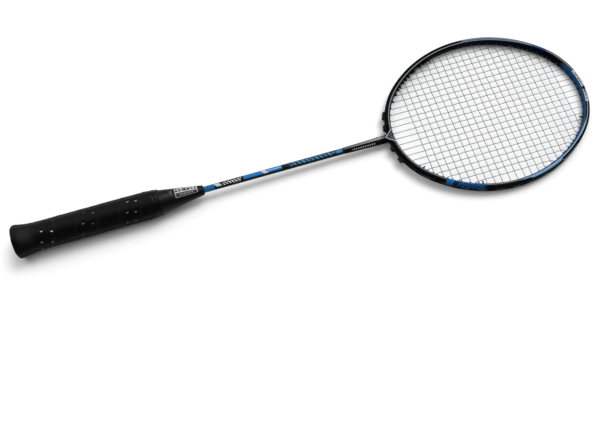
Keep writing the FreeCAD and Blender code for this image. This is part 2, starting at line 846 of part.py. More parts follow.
def knot(angle):
    """A small three-turn knot on a string's end, just inside the rim at a tie hole."""
    place, normal = rim_point(angle, TIE_START)
    turns = 3
    pitch = 2 * STRING_RADIUS
    waist = KNOT_WAIST * STRING_RADIUS
    crown = KNOT_CROWN * STRING_RADIUS
    ridges = []
    for turn in range(turns):
        first = Vector(pitch * turn, waist, 0)
        middle = Vector(pitch * (turn + 0.5), crown, 0)
        last = Vector(pitch * (turn + 1), waist, 0)
        ridges.append(Part.Arc(first, middle, last).toShape())
    foot = Vector(0, 0, 0)
    head = Vector(pitch * turns, 0, 0)
    rise = Vector(0, waist, 0)
    corners = [head + rise, head, foot, foot + rise]
    sides = [Part.LineSegment(a, b).toShape() for a, b in zip(corners, corners[1:])]
    profile = Part.Face(Part.Wire(ridges + sides))
    bead = profile.revolve(Vector(0, 0, 0), Vector(1, 0, 0), 360)
    bead.Placement = FreeCAD.Placement(place, FreeCAD.Rotation(Vector(1, 0, 0), -normal))
    return bead


def make_knots(label, ties):
    return keep(feature(label, Part.makeCompound([knot(angle) for angle in ties])))


# ---------------------------------------------------------------- holes and grommets
def hole_angles():
    """The normals' angles of every hole in the rim, for mains, crosses and tie-offs."""
    angles = MAIN_TIES + CROSS_TIES
    angles += [main_angle(k, forward) for k in range(MAINS) for forward in (False, True)]
    angles += [cross_angle(k, left) for k in range(CROSSES) for left in (False, True)]
    return [angle % (2 * math.pi) for angle in angles]


def bar_through_rim(angle, radius, low, high):
    """A round bar square to the rim, between two distances from its centre line."""
    place, normal = rim_point(angle, low)
    return Part.makeCylinder(radius, high - low, place, normal)


def make_head_frame():
    """The hollow carbon rim with its string groove and a hole for each grommet."""
    body = new_body("head_frame_tube")
    rim_pipe(body, "head_frame_outside", rim_outline(True), "Additive")
    rim_pipe(body, "head_frame_bore", rim_cavity(), "Subtractive")
    reach = HALF_RIM + 1
    radius = size("hole_diameter") / 2
    drills = [bar_through_rim(angle, radius, -reach, reach) for angle in hole_angles()]
    holes = feature("head_frame_holes", Part.makeCompound(drills))
    return keep(boolean("Cut", "head_frame", body, holes))


BAND_BOTTOM = HALF_RIM - size("groove_depth")
BAND_TOP = BAND_BOTTOM + size("band_thickness")
SHOULDERS = ((106.9, 147.0), (213.0, 253.1))


def barrel_tip(angle):
    """Where a barrel ends inside the rim: further in at the throat's shoulders and under a knot."""
    turn = math.degrees(angle) % 360
    tied = any(abs(turn - math.degrees(tie) % 360) < 0.01 for tie in MAIN_TIES + CROSS_TIES)
    far = tied or any(low < turn < high for low, high in SHOULDERS)
    return -(HALF_RIM + size("long_barrel_reach" if far else "barrel_reach"))


def rim_slab(start, end, low, high, half_height, taper=0.0):
    """A slab that follows the rim between two angles and two distances from its centre line.
    The taper draws the outer side's ends in, as an angle."""
    inner = rim_edges(start, end, low, -half_height)
    outer = rim_edges(start + taper, end - taper, high, -half_height)
    sides = [
        Part.LineSegment(edges_a.valueAt(a), edges_b.valueAt(b)).toShape()
        for edges_a, a, edges_b, b in (
            (inner[0], inner[0].FirstParameter, outer[0], outer[0].FirstParameter),
            (inner[-1], inner[-1].LastParameter, outer[-1], outer[-1].LastParameter),
        )
    ]
    wire = Part.Wire(Part.__sortEdges__(inner + outer + sides))
    return Part.Face(wire).extrude(Vector(0, 0, 2 * half_height))


def barrels(angles):
    outer = size("hole_diameter") / 2
    return [bar_through_rim(angle, outer, barrel_tip(angle), BAND_TOP) for angle in angles]


# how far a bore's cutter runs past each end of its barrel
BORE_OVERRUN = 1.0


def bores(angles):
    """The string holes through the barrels, with a lip opened at each end for the string's bend."""
    inner = size("barrel_bore") / 2
    lip = size("bore_lip")
    cutters = []
    for angle in angles:
        tip = barrel_tip(angle)
        cutters.append(bar_through_rim(angle, inner, tip - BORE_OVERRUN, BAND_TOP + BORE_OVERRUN))
        for end, outward in ((BAND_TOP, 1), (tip, -1)):
            place, normal = rim_point(angle, end - outward * lip)
            cutters.append(Part.makeCone(inner, inner + 2 * lip, 2 * lip, place, normal * outward))
    return cutters


def make_grommet_strip(label, start, end):
    """A nylon strip in the groove, with a barrel through the rim at each hole that it covers."""
    low, high = math.radians(start), math.radians(end)
    angles = [a for a in hole_angles() if low < a < high or low < a - 2 * math.pi < high]
    band = rim_slab(low, high, BAND_BOTTOM, BAND_TOP, size("band_width") / 2)
    shape = band.fuse(barrels(angles)).cut(Part.makeCompound(bores(angles)))
    return keep(feature(label, shape.removeSplitter()))


def make_single_grommets(label, start, end):
    """Single grommets, each a barrel under a round flange in the groove."""
    low, high = math.radians(start), math.radians(end)
    angles = [a for a in hole_angles() if low < a < high]
    flange = size("band_width") / 2
    singles = []
    for angle in angles:
        head = bar_through_rim(angle, flange, BAND_BOTTOM, BAND_TOP)
        body = head.fuse(barrels([angle])[0]).cut(Part.makeCompound(bores([angle])))
        singles.append(body.removeSplitter())
    return keep(feature(label, Part.makeCompound(singles)))


# each pad's two ends, in degrees from the throat; its end slope; and how deep its root starts in the rim
PAD_SPANS = ((6.2, 12.2), (16.6, 23.8))
PAD_TAPER = math.radians(1.6)
PAD_ROOT = 1.5


def make_throat_pads(label, side, envelope):
    """Two rubber pads on the back of the rim beside the T-joint."""
    pads = []
    for start, end in PAD_SPANS:
        low, high = math.radians(180 - side * start), math.radians(180 - side * end)
        low, high = min(low, high), max(low, high)
        top = HALF_RIM + size("pad_height")
        slab = rim_slab(low, high, HALF_RIM - PAD_ROOT, top, size("pad_width") / 2, PAD_TAPER)
        pads.append(slab.cut(envelope.Shape))
    return keep(feature(label, Part.makeCompound(pads)))


# where each strip and each row of single grommets starts and ends, in degrees round the head
STRIPS = {
    "tip_grommet_strip": (-36.7, 36.7),
    "tip_left_grommet_strip": (37.1, 71.2),
    "tip_right_grommet_strip": (288.8, 322.9),
    "throat_left_grommet_strip": SHOULDERS[0],
    "throat_right_grommet_strip": SHOULDERS[1],
    "throat_grommet_strip": (147.4, 212.6),
}
SIDES = {
    "left_side_grommets": (71.3, 106.8),
    "right_side_grommets": (253.2, 288.7),
}


# ---------------------------------------------------------------- assembly
def build():
    nails = make_nails()
    make_handle_core(nails)
    make_butt_cap(nails)
    make_butt_plate()
    make_base_grip()
    make_overgrip()
    make_finishing_tape()
    make_cone()
    make_cone_label()
    make_shaft()
    core = make_throat_core()
    envelope = make_rim_envelope()
    make_throat_joint(envelope, core)
    doc.recompute()
    make_throat_pads("throat_pads_left", 1, envelope)
    make_throat_pads("throat_pads_right", -1, envelope)
    make_head_frame()
    for label, span in STRIPS.items():
        make_grommet_strip(label, *span)
    for label, span in SIDES.items():
        make_single_grommets(label, *span)
    make_string("main_string", main_runs(), size("loop_side"), MAIN_TIES)
    make_string("cross_string", cross_runs(), -size("loop_side"), CROSS_TIES)
    make_knots("main_string_knots", MAIN_TIES)
    make_knots("cross_string_knots", CROSS_TIES)
    doc.recompute()


def check():
    """Stop on any object that failed, and on any piece whose shape isn't sound."""
    for item in doc.Objects:
        if "Invalid" in item.State or "Error" in item.State:
            raise RuntimeError(f"{item.Name} failed: {item.State}")
    for piece in PIECES:
        shape = piece.Shape
        if shape.isNull() or not shape.isValid() or not shape.Solids or shape.Volume <= 0:
            raise RuntimeError(f"{piece.Label} has no sound shape")


build()
check()
for piece in PIECES:
    piece.Shape.exportStep(f"parts/{piece.Label}.step")
    print(piece.Label, len(piece.Shape.Solids), round(piece.Shape.Volume, 1))
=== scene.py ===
"""A badminton racket lying on a pale table: finishes, a wound overgrip, light and camera."""
import math

import bpy
from mathutils import Matrix, Vector


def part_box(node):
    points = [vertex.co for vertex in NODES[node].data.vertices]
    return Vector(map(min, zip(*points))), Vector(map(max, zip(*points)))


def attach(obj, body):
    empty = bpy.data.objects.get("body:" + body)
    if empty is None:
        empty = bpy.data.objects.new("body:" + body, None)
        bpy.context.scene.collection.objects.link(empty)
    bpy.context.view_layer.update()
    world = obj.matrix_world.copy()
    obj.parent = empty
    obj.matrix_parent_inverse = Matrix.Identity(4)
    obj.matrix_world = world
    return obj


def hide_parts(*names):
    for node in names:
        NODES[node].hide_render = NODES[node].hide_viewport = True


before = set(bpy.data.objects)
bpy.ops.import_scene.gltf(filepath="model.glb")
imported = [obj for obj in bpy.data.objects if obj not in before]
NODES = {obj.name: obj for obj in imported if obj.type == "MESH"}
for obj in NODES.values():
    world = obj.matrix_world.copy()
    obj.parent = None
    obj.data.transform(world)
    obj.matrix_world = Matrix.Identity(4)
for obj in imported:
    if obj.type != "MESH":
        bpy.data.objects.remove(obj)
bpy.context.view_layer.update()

MM = 0.001

# ---------------------------------------------------------------- places read from the frame
HEAD_LOW, HEAD_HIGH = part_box("head_frame")
HEAD_MIDDLE = (HEAD_LOW.x + HEAD_HIGH.x) / 2
HALF_LENGTH = (HEAD_HIGH.x - HEAD_LOW.x) / 2
HALF_WIDTH = (HEAD_HIGH.y - HEAD_LOW.y) / 2
END_RADIUS = 84 * MM

# the silver triangle over the throat: its apex, its length and how its legs spread
TRIANGLE_APEX = 428 * MM
TRIANGLE_LENGTH = 10.2 * MM
TRIANGLE_SLOPE = 0.85

# how marks lean on the rim, in degrees round the head per metre, and the painted highlight line's shift at
# the tip
FACE_SLANT = 900.0
SIDE_SLANT = 500.0
HIGHLIGHT_SHIFT = 1.5 * MM

# the label's two long edges and the line between its two fields, in degrees round the cone
LABEL_SPAN = (-28.0, 44.0)
LABEL_SPLIT = 2.0

PLATE_RING_PITCH = 0.5 * MM
WEAVE_PITCH = 2.2 * MM

# two points that the table passes through, under the butt and under the head's tip
BUTT_REST = Vector((4 * MM, 0, -18.5 * MM))
TIP_REST = Vector((672 * MM, 0, -5.25 * MM))
TABLE_REACH = 24.0


def oval():
    """The head's outline is four arcs: (end centre, side centre, side radius), from its middle."""
    end_centre = HALF_LENGTH - END_RADIUS
    drop = HALF_WIDTH - END_RADIUS
    side_centre = (end_centre ** 2 - drop ** 2) / (2 * drop)
    return end_centre, side_centre, HALF_WIDTH + side_centre


END_CENTRE, SIDE_CENTRE, SIDE_RADIUS = oval()


# ---------------------------------------------------------------- materials
def srgb(red, green, blue):
    """A display colour, 0 to 255, as the linear colour that a shader takes."""
    parts = []
    for value in (red, green, blue):
        share = value / 255
        parts.append(share / 12.92 if share <= 0.04045 else ((share + 0.055) / 1.055) ** 2.4)
    return (*parts, 1.0)


BLACK = srgb(6, 6, 7)
SOFT_BLACK = srgb(18, 18, 20)
GRAPHITE = srgb(44, 46, 50)
SILVER = srgb(196, 200, 204)
WEB_GREY = srgb(92, 95, 99)
NAVY = srgb(3, 16, 34)
TEAL = srgb(14, 50, 78)
BLUE = srgb(20, 87, 146)
BRIGHT_BLUE = srgb(24, 106, 174)


class Finish:
    """A procedural material: its shader, and short calls for the nodes that drive it."""

    def __init__(self, name):
        self.material = bpy.data.materials.new(name)
        self.material.use_nodes = True
        self.tree = self.material.node_tree
        self.shader = self.tree.nodes["Principled BSDF"]
        self.place = self.tree.nodes.new("ShaderNodeTexCoord").outputs["Object"]
        split = self.node("ShaderNodeSeparateXYZ", self.place)
        self.x, self.y, self.z = split.outputs

    def node(self, kind, *values, **settings):
        made = self.tree.nodes.new(kind)
        for key, value in settings.items():
            setattr(made, key, value)
        for socket, value in zip(made.inputs, values):
            self.feed(socket, value)
        return made

    def feed(self, socket, value):
        if isinstance(value, bpy.types.NodeSocket):
            self.tree.links.new(value, socket)
        elif value is not None:
            socket.default_value = value

    def math(self, operation, *values):
        return self.node("ShaderNodeMath", *values, operation=operation).outputs[0]

    def rise(self, value, low, high):
        """0 below low and 1 above high, smooth between them."""
        made = self.node("ShaderNodeMapRange", value, low, high, 0.0, 1.0,
                         interpolation_type="SMOOTHSTEP")
        return made.outputs[0]

    def band(self, value, low, high, soft):
        """1 between low and high, with soft edges."""
        up = self.rise(value, low - soft / 2, low + soft / 2)
        down = self.rise(value, high - soft / 2, high + soft / 2)
        return self.math("SUBTRACT", up, down)

    def where(self, first, *others):
        """1 where all of these are 1: their product."""
        for other in others:
            first = self.math("MULTIPLY", first, other)
        return first

    def scaled(self, value, by):
        return self.math("MULTIPLY", value, by)

    def either(self, first, second):
        return self.math("MAXIMUM", first, second)

    def flip(self, value):
        return self.math("SUBTRACT", 1.0, value)

    def mix(self, share, first, second):
        made = self.tree.nodes.new("ShaderNodeMix")
        made.data_type = "RGBA"
        for socket, value in ((made.inputs[0], share), (made.inputs[6], first), (made.inputs[7], second)):
            self.feed(socket, value)
        return made.outputs[2]

    def paint(self, colour, *layers):
        """Colours laid over each other: each layer is (share, colour)."""
        for share, over in layers:
            colour = self.mix(share, colour, over)
        return colour

    def noise(self, size, detail=2.0, stretch=(1, 1, 1), roughness=0.5):
        """Smooth noise, 0 to 1, whose features are about this size in metres."""
        mapped = self.node("ShaderNodeMapping", self.place, None, None, stretch).outputs[0]
        made = self.tree.nodes.new("ShaderNodeTexNoise")
        made.inputs["Scale"].default_value = 1 / size
        made.inputs["Detail"].default_value = detail
        made.inputs["Roughness"].default_value = roughness
        self.tree.links.new(mapped, made.inputs["Vector"])
        return made.outputs["Fac"]

    def blotches(self, size, low, high, detail=1.0, stretch=(1, 1, 1)):
        """Noise as patches: 0 where it is under low and 1 where it is over high."""
        return self.rise(self.noise(size, detail, stretch), low, high)

    def turn(self):
        """The angle round the X axis in degrees, 0 at the top and 90 on the left side."""
        return self.math("MULTIPLY", self.math("ARCTAN2", self.y, self.z), 180 / math.pi)

    def dashes(self, along, pitch, share):
        """1 on evenly spaced marks and 0 between them."""
        step = self.math("FRACT", self.math("DIVIDE", along, pitch))
        return self.math("LESS_THAN", step, share)

    def bump(self, height, depth, strength=1.0):
        """Raises the surface by height, 0 to 1, times depth in metres."""
        made = self.tree.nodes.new("ShaderNodeBump")
        made.inputs["Strength"].default_value = strength
        made.inputs["Distance"].default_value = depth
        self.tree.links.new(height, made.inputs["Height"])
        self.tree.links.new(made.outputs[0], self.shader.inputs["Normal"])

    def set(self, **values):
        for name, value in values.items():
            self.feed(self.shader.inputs[name.replace("_", " ")], value)

    def worn(self, low, high, size=6 * MM):
        """A roughness that wanders between two values, as handling leaves it."""
        self.feed(self.shader.inputs["Roughness"], self.node(
            "ShaderNodeMapRange", self.noise(size, 4.0), 0.3, 0.7, low, high).outputs[0])


# ---------------------------------------------------------------- the head's lacquer
def rim_places(finish):
    """How far a point is from the rim's outer edge, and its angle round the head, in degrees."""
    across = finish.math("ABSOLUTE", finish.math("SUBTRACT", finish.x, HEAD_MIDDLE))
    beside = finish.math("ABSOLUTE", finish.y)
    past_end = finish.math("SUBTRACT", across, END_CENTRE)
    reach = finish.math("SQRT", finish.math(
        "ADD", finish.math("POWER", past_end, 2.0), finish.math("POWER", beside, 2.0)))
    end_reach = finish.math("SUBTRACT", reach, END_RADIUS)
    deeper = finish.math("ADD", beside, SIDE_CENTRE)
    reach = finish.math("SQRT", finish.math(
        "ADD", finish.math("POWER", across, 2.0), finish.math("POWER", deeper, 2.0)))
    side_reach = finish.math("SUBTRACT", reach, SIDE_RADIUS)
    at_end = finish.math("GREATER_THAN",
                         finish.math("MULTIPLY", past_end, SIDE_CENTRE / END_CENTRE), beside)
    outset = finish.math("ADD", finish.math("MULTIPLY", end_reach, at_end),
                         finish.math("MULTIPLY", side_reach, finish.flip(at_end)))
    ahead = finish.math("SUBTRACT", finish.x, HEAD_MIDDLE)
    angle = finish.math("MULTIPLY", finish.math("ARCTAN2", finish.y, ahead), 180 / math.pi)
    return outset, angle


def ornament(finish):
    """A silver triangle over the throat, as layers: a grey web, dark dots in it, and its two legs."""
    top = finish.rise(finish.z, 1.6 * MM, 2.6 * MM)
    past_apex = finish.math("SUBTRACT", finish.x, TRIANGLE_APEX)
    beside_leg = finish.math("SUBTRACT", finish.math("ABSOLUTE", finish.y),
                             finish.scaled(past_apex, TRIANGLE_SLOPE))
    ahead = finish.where(top, finish.band(past_apex, 0.0, TRIANGLE_LENGTH, 0.4 * MM))
    legs = finish.where(ahead, finish.band(beside_leg, -0.5 * MM, 0.3 * MM, 0.3 * MM))
    web = finish.where(ahead, finish.flip(finish.rise(beside_leg, -1.2 * MM, -0.6 * MM)))
    dots = finish.where(web, finish.blotches(0.9 * MM, 0.46, 0.56))
    return (web, WEB_GREY), (dots, BLACK), (legs, SILVER)


def rim_lacquer():
    """Black gloss with a painted highlight line along its faces near the inner edge, blue panels and blocks,
    and broken pale marks at the tip.
    """
    finish = Finish("rim_lacquer")
    outset, angle = rim_places(finish)
    face = finish.rise(finish.math("ABSOLUTE", finish.z), 3.4 * MM, 4.2 * MM)
    inner = finish.flip(finish.rise(outset, -5.4 * MM, -4.6 * MM))
    outer_part = finish.flip(finish.rise(outset, -4.6 * MM, -4.1 * MM))
    upper_side = finish.rise(finish.z, -1.5 * MM, -0.5 * MM)
    slant = finish.math("ADD", angle, finish.scaled(outset, FACE_SLANT))
    upright = finish.math("ADD", angle, finish.scaled(finish.z, SIDE_SLANT))

    def span(low, high, soft):
        """A stretch of the rim between two angles from the tip, in degrees, positive on the left."""
        return finish.band(angle, low, high, soft)

    def ring(low, high):
        """A line along the rim's two faces, between two distances from its outer edge, negative inward."""
        return finish.where(face, finish.band(outset, low * MM, high * MM, 0.3 * MM))

    # painted highlight: a pale line along the rim's faces near the inner edge, where the gloss would reflect
    # the lamp
    tipward = finish.flip(finish.rise(finish.math("ABSOLUTE", angle), 25.0, 60.0))
    line = finish.math("SUBTRACT", outset, finish.scaled(tipward, HIGHLIGHT_SHIFT))
    painted_highlight = finish.where(face, finish.band(line, -4.9 * MM, -4.2 * MM, 0.3 * MM))

    left_wall = finish.where(inner, span(29, 92, 5.0))
    left_line = finish.where(span(37, 86, 4.0), ring(-3.4, -0.9))
    left_marks = finish.where(left_line, finish.dashes(slant, 1.9, 0.4),
                              finish.blotches(1.6 * MM, 0.45, 0.55))
    left_patch = finish.where(span(28.5, 38, 3.0), ring(-3.6, 0.4))

    panel = span(-138.0, -113.3, 0.5)
    first_block = finish.where(upper_side, span(-137.5, -133.5, 0.5))
    blocks = finish.where(upper_side, span(-130.5, -113.8, 0.5), finish.dashes(slant, 3.3, 0.6))
    glint = finish.where(panel, ring(-5.4, -4.7))

    right_strip = finish.where(span(-90, -24, 4.0), face, outer_part)
    right_line = finish.where(span(-88, -26, 6.0), ring(-4.2, -3.5))
    hatch_zone = finish.where(span(-82, -57, 1.5), ring(-3.5, -1.7))
    hatch = finish.where(hatch_zone, finish.dashes(slant, 1.7, 0.5))
    right_wall = finish.where(inner, span(-50, -22, 4.0))
    side_marks = finish.where(
        finish.band(outset, -2.0 * MM, 1.0 * MM, 0.4 * MM),
        finish.band(finish.z, -1.0 * MM, 4.6 * MM, 0.4 * MM),
        span(-57, -42, 0.6), finish.dashes(upright, 1.7, 0.4))

    tip_wall = finish.where(inner, span(-22, 16, 4.0))
    tip_band = finish.where(span(-12, 9, 0.5), ring(-4.6, -1.2))
    tip_gap = finish.where(tip_band, span(-4.2, -2.2, 0.3))
    tip_cuts = finish.where(ring(-4.0, -1.8), span(-11.4, 8.4, 0.4), finish.either(
        finish.dashes(slant, 2.3, 0.5), finish.blotches(0.8 * MM, 0.5, 0.56)))

    colour = finish.paint(
        BLACK,
        (left_wall, NAVY), (tip_wall, srgb(30, 76, 116)), (right_wall, srgb(38, 84, 116)),
        (painted_highlight, srgb(146, 149, 153)),
        (left_line, srgb(112, 124, 136)), (left_marks, srgb(30, 44, 60)), (left_patch, srgb(30, 66, 116)),
        (panel, srgb(6, 28, 54)), (first_block, srgb(26, 84, 132)), (blocks, srgb(16, 68, 114)),
        (glint, srgb(90, 148, 186)),
        (right_strip, srgb(28, 76, 124)), (right_line, srgb(160, 184, 200)),
        (hatch_zone, srgb(30, 82, 126)), (hatch, srgb(124, 170, 198)),
        (tip_band, srgb(204, 207, 210)), (tip_cuts, BLACK), (tip_gap, BLACK),
        (side_marks, srgb(170, 174, 178)),
        *ornament(finish),
    )
    finish.set(Base_Color=colour, Specular_IOR_Level=0.012)
    finish.worn(0.16, 0.28)
    finish.bump(finish.noise(1.2 * MM, 3.0), 0.02 * MM, 0.6)
    return finish.material


def joint_lacquer():
    """The throat's lacquer: a grey band along the stem that is a painted highlight, and small pale marks, up
    to the silver triangle.
    """
    finish = Finish("joint_lacquer")
    angle = finish.turn()
    stem = finish.flip(finish.rise(finish.x, 420 * MM, 430 * MM))
    left_edge = finish.where(stem, finish.band(angle, 44, 80, 6.0))
    # painted highlight: a grey band on the stem's upper side, brighter towards the throat, where the gloss
    # would reflect the lamp
    stem_painted_highlight = finish.where(stem, finish.band(angle, -6, 34, 6.0))
    fade = finish.rise(finish.x, 366 * MM, 424 * MM)
    marks = finish.where(finish.band(finish.x, 387 * MM, 415 * MM, 0.5 * MM),
                         finish.band(angle, -58, -38, 4.0), finish.dashes(finish.x, 2.7 * MM, 0.45))
    grain = finish.blotches(0.5 * MM, 0.3, 0.7, 3.0, (0.12, 1, 1))
    colour = finish.paint(
        BLACK,
        (finish.scaled(grain, 0.12), GRAPHITE),
        (left_edge, srgb(36, 37, 40)),
        (stem_painted_highlight, finish.mix(fade, srgb(74, 76, 80), srgb(136, 139, 142))),
        (marks, srgb(176, 179, 182)),
        *ornament(finish),
    )
    finish.set(Base_Color=colour, Specular_IOR_Level=0.02)
    finish.worn(0.16, 0.3)
    finish.bump(finish.noise(1.2 * MM, 3.0), 0.02 * MM, 0.6)
    return finish.material


def shaft_lacquer():
    """Blue, black and deep teal along the shaft's upper side, pale marks, and a black underside that is
    partly design and partly painted shade.
    """
    finish = Finish("shaft_lacquer")
    angle = finish.turn()
    # colours only on the upper side; the underside stays black, partly as design and partly as painted shade
    upper = finish.band(angle, -38, 74, 10.0)
    slant = finish.math("ADD", finish.x, finish.scaled(finish.y, 0.9))

    def along(place, low, high):
        """1 between two places on the shaft, in millimetres."""
        return finish.band(place, low * MM, high * MM, 0.5 * MM)

    def stretch(low, high):
        return finish.where(upper, along(finish.x, low, high))

    def marks(low, high, pitch, share):
        """Small slanted marks in a row between two places, on the side that faces up."""
        return finish.where(finish.band(angle, -40, 20, 4.0), along(finish.x, low, high),
                            finish.dashes(slant, pitch * MM, share))

    first_stretch = finish.where(finish.band(angle, -84, 88, 12.0), along(finish.x, 150, 225))
    patch = finish.where(finish.band(angle, -34, 30, 6.0), along(slant, 226, 232))
    slash = finish.where(finish.band(angle, -34, 36, 6.0), along(slant, 281, 286))
    # painted highlight: a pale blue line along the top of the bright blue stretch
    shaft_painted_highlight = finish.where(stretch(287, 303), finish.band(angle, -6, 8, 4.0))
    streaks = finish.blotches(0.6 * MM, 0.42, 0.62, 3.0, (0.03, 1, 1))
    broken = finish.blotches(1.0 * MM, 0.4, 0.5)
    short_marks = finish.where(marks(235, 256, 3.6, 0.52), broken)
    long_marks = finish.where(finish.either(marks(314, 366, 5.2, 0.5), marks(368.5, 375, 3.2, 0.6)), broken)
    colour = finish.paint(
        BLACK,
        (first_stretch, BLUE), (patch, srgb(172, 190, 190)), (short_marks, srgb(206, 208, 210)),
        (stretch(259, 304), BRIGHT_BLUE), (slash, srgb(188, 192, 196)), (shaft_painted_highlight, srgb(150, 188, 220)),
        (stretch(311, 376), TEAL), (stretch(330, 342), srgb(20, 84, 130)), (stretch(368, 376), BRIGHT_BLUE),
        (finish.where(streaks, stretch(311, 376)), srgb(10, 36, 62)),
        (long_marks, srgb(78, 138, 168)),
    )
    finish.set(Base_Color=colour, Specular_IOR_Level=0.16)
    finish.worn(0.14, 0.26)
    finish.bump(finish.noise(1.5 * MM, 3.0), 0.02 * MM, 0.5)
    return finish.material


# ---------------------------------------------------------------- the other finishes
def moulded(name, colour, low, high, grain, depth, dust):
    """Moulded plastic or rubber: fine grain, a little dust in it, and a wandering sheen."""
    finish = Finish(name)
    speckle = finish.blotches(2.5 * MM, 0.45, 0.8, 5.0)
    finish.set(Base_Color=finish.mix(speckle, colour, dust), Specular_IOR_Level=0.06)
    finish.worn(low, high)
    finish.bump(finish.noise(grain, 3.0), depth)
    return finish.material


def grommet_nylon():
    return moulded("grommet_nylon", srgb(8, 8, 9), 0.3, 0.45, 0.35 * MM, 0.03 * MM, srgb(20, 20, 23))


def pad_rubber():
    return moulded("pad_rubber", srgb(7, 7, 8), 0.5, 0.7, 0.25 * MM, 0.05 * MM, srgb(15, 15, 17))


def cap_plastic():
    return moulded("cap_plastic", srgb(20, 20, 22), 0.4, 0.6, 0.5 * MM, 0.06 * MM, SOFT_BLACK)


def cone_plastic():
    """Semi-gloss black moulding, with pale streaks on its upper side just past the closing tape: a painted
    highlight.
    """
    finish = Finish("cone_plastic")
    # painted highlight: pale streaks on the cone's upper side next to the tape
    streaks = finish.blotches(1.6 * MM, 0.48, 0.72, 5.0, (1, 0.25, 0.25))
    cone_painted_highlight = finish.where(finish.band(finish.x, 163 * MM, 179 * MM, 4 * MM),
                           finish.band(finish.turn(), -2, 30, 16.0))
    finish.set(Base_Color=finish.paint(srgb(9, 9, 10), (finish.where(cone_painted_highlight, streaks), srgb(92, 91, 88))),
               Specular_IOR_Level=0.1)
    finish.worn(0.3, 0.42)
    finish.bump(finish.noise(0.4 * MM, 3.0), 0.03 * MM)
    return finish.material


def plate_plastic():
    """The butt's disc: a fine turned ring pattern with a plain emblem of rings."""
    finish = Finish("plate_plastic")
    reach = finish.math("SQRT", finish.math(
        "ADD", finish.math("POWER", finish.y, 2.0), finish.math("POWER", finish.z, 2.0)))
    rings = finish.math("SINE", finish.math("MULTIPLY", reach, 2 * math.pi / PLATE_RING_PITCH))
    circle = finish.either(finish.band(reach, 7.6 * MM, 8.4 * MM, 0.2 * MM),
                           finish.band(reach, 2.4 * MM, 3.4 * MM, 0.2 * MM))
    speckle = finish.blotches(1.5 * MM, 0.4, 0.8, 4.0)
    finish.set(Base_Color=finish.paint(srgb(30, 31, 34), (speckle, SOFT_BLACK), (circle, SILVER)))
    finish.worn(0.25, 0.4)
    finish.bump(rings, 0.03 * MM, 0.6)
    return finish.material


def nail_steel():
    finish = Finish("nail_steel")
    tarnish = finish.blotches(0.8 * MM, 0.4, 0.7, 4.0)
    finish.set(Base_Color=finish.mix(tarnish, srgb(150, 152, 155), srgb(98, 94, 88)), Metallic=1.0)
    finish.worn(0.3, 0.5)
    finish.bump(finish.noise(0.3 * MM, 3.0, (1, 0.1, 1)), 0.02 * MM)
    return finish.material


def tape_film():
    """Near-black closing tape, folded on itself, with grey streaks on its folds where it faces up: a painted
    reflection.
    """
    finish = Finish("tape_film")
    folds = finish.noise(0.9 * MM, 4.0, (1, 0.15, 0.15))
    # painted reflection: grey on the fold crests, only on the upper side
    streaks = finish.where(finish.rise(folds, 0.5, 0.72), finish.band(finish.turn(), -6, 52, 24.0))
    finish.set(Base_Color=finish.mix(streaks, srgb(6, 6, 7), srgb(62, 62, 63)), Specular_IOR_Level=0.06)
    finish.worn(0.35, 0.5)
    finish.bump(folds, 0.18 * MM)
    return finish.material


def label_foil():
    """A black foil label: a thin pale outline, a pale field cut by dark shapes, and small marks below."""
    finish = Finish("label_foil")
    low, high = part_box("cone_label")
    first, last = LABEL_SPAN
    angle = finish.turn()
    slant = finish.math("ADD", finish.x, finish.scaled(finish.y, 0.3))

    def along(inset):
        """1 along the label, short of its two ends by an inset in millimetres."""
        return finish.band(finish.x, low.x + inset * MM, high.x - inset * MM, 0.3 * MM)

    outline = finish.either(finish.flip(along(0.55)),
                            finish.flip(finish.band(angle, first + 2.2, last - 2.2, 1.5)))
    within = finish.flip(outline)
    field = finish.where(within, finish.band(angle, LABEL_SPLIT, last - 6, 2.0))
    cuts = finish.where(field, finish.band(angle, LABEL_SPLIT + 5, last - 8, 2.0), finish.either(
        finish.blotches(1.9 * MM, 0.47, 0.53), finish.dashes(slant, 3.4 * MM, 0.3)))
    marks = finish.where(within, finish.band(angle, first + 10, LABEL_SPLIT - 10, 2.0),
                         along(4), finish.dashes(finish.x, 2.3 * MM, 0.4))
    scuff = finish.blotches(1.0 * MM, 0.6, 0.85, 5.0)
    finish.set(Base_Color=finish.paint(
        BLACK, (outline, srgb(168, 171, 174)), (field, srgb(198, 200, 202)), (cuts, SOFT_BLACK),
        (marks, srgb(140, 143, 146)), (finish.scaled(scuff, 0.5), GRAPHITE)),
        Specular_IOR_Level=0.2)
    finish.worn(0.28, 0.4)
    finish.bump(finish.noise(0.5 * MM, 3.0), 0.01 * MM)
    return finish.material


def string_nylon(name, shade):
    """Smoke-dark multifilament nylon: fine twisted filaments under a thin clear skin."""
    finish = Finish(name)
    twist = finish.noise(0.25 * MM, 2.0, (0.4, 1, 1))
    finish.set(Base_Color=finish.mix(finish.rise(twist, 0.35, 0.65), shade, srgb(104, 104, 108)),
               Specular_IOR_Level=0.12)
    finish.worn(0.35, 0.55, 2 * MM)
    finish.bump(twist, 0.02 * MM)
    return finish.material


def timber():
    """Pale ramin wood, grained along the handle."""
    finish = Finish("timber")
    grain = finish.noise(1.6 * MM, 5.0, (0.06, 1, 1))
    streaks = finish.rise(grain, 0.4, 0.65)
    finish.set(Base_Color=finish.paint(srgb(206, 170, 122), (streaks, srgb(168, 126, 80))))
    finish.worn(0.5, 0.7)
    finish.bump(grain, 0.08 * MM)
    return finish.material


def grip_foam():
    finish = Finish("grip_foam")
    cells = finish.noise(0.6 * MM, 3.0)
    finish.set(Base_Color=finish.mix(cells, srgb(30, 30, 32), srgb(52, 52, 55)))
    finish.worn(0.7, 0.9)
    finish.bump(cells, 0.15 * MM)
    return finish.material


